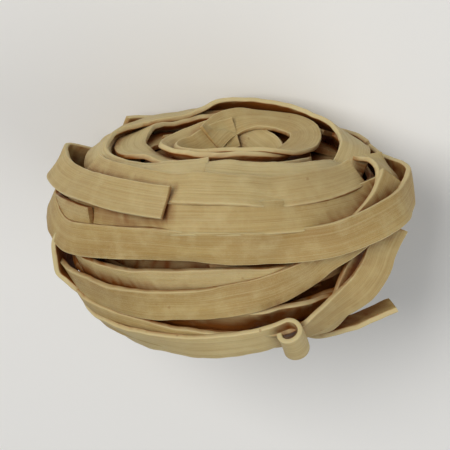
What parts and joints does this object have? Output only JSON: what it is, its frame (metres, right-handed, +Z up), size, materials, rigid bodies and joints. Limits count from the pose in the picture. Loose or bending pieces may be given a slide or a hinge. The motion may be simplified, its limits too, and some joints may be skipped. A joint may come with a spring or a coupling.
{
  "type": "tagliatelle nest",
  "caption": "Dried tagliatelle wound into an oval nest of flat ribbons, lying on its outer wall with the coil's axis level.",
  "frame": {"origin": "centre of the nest's bounding box, on the surface that the nest lies on", "axes": "+X along the nest's long side, +Y along the axis of the coil, +Z up through the outer wall"},
  "size_m": [0.0819, 0.0446, 0.0602],
  "materials": {
    "pasta": "dried egg pasta: matte, straw yellow, faintly floury"
  },
  "bodies": {
    "root": {"nest": "pasta"}
  },
  "joints": []
}
